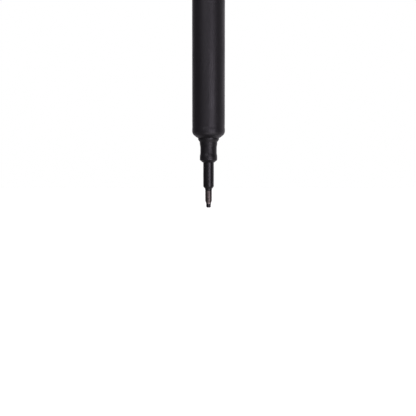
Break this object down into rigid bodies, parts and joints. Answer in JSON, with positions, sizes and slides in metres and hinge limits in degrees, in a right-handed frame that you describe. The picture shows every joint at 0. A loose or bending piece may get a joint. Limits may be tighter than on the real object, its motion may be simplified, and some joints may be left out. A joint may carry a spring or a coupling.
{
  "type": "technical pen",
  "caption": "Slim black technical drawing pen, nib down, with a stepped neck, steel nib pipe, fibre ink reservoir and a clipped cap posted on its tail.",
  "frame": {"origin": "the writing point: the lowest point of the nib, on the pen's axis", "axes": "+Z along the pen's axis from the nib towards the tail and the posted cap; +X towards the cap's clip"},
  "size_m": [0.0127, 0.0112, 0.1486],
  "materials": {
    "nib_plastic": "ink-stained acetal, satin",
    "pipe_steel": "drawn stainless tube",
    "neck_plastic": "satin black moulding",
    "barrel_plastic": "matte black moulding, finely textured",
    "cap_plastic": "matte black moulding, finely textured",
    "ink_fibre": "polyester fibre soaked with black ink",
    "sheath_film": "thin clear film",
    "liner_plastic": "milky natural polyethylene",
    "disc_plastic": "plain grey inset",
    "clip_steel": "satin spring steel"
  },
  "bodies": {
    "pen": {"nib": "nib_plastic", "nib_pipe": "pipe_steel", "nib_carrier": "neck_plastic", "mouthpiece": "neck_plastic", "barrel": "barrel_plastic", "relay_core": "ink_fibre", "reservoir_core": "ink_fibre", "reservoir_sheath": "sheath_film", "breather_tube": "liner_plastic", "tail_plug": "barrel_plastic"},
    "cap": {"cap_shell": "cap_plastic", "cap_liner": "liner_plastic", "cap_button": "cap_plastic", "width_disc": "disc_plastic"},
    "clip": {"cap_clip": "clip_steel"}
  },
  "joints": [
    {"name": "cap_slide", "type": "slide", "parent": "pen", "child": "cap", "axis": [0, 0, 1], "range_m": [0, 0.025]},
    {"name": "clip_flex", "type": "hinge", "parent": "cap", "child": "clip", "pos_m": [0.0058, 0, 0.14535], "axis": [0, -1, 0], "range_deg": [0, 5], "stiffness_Nm_per_rad": 0.1}
  ]
}
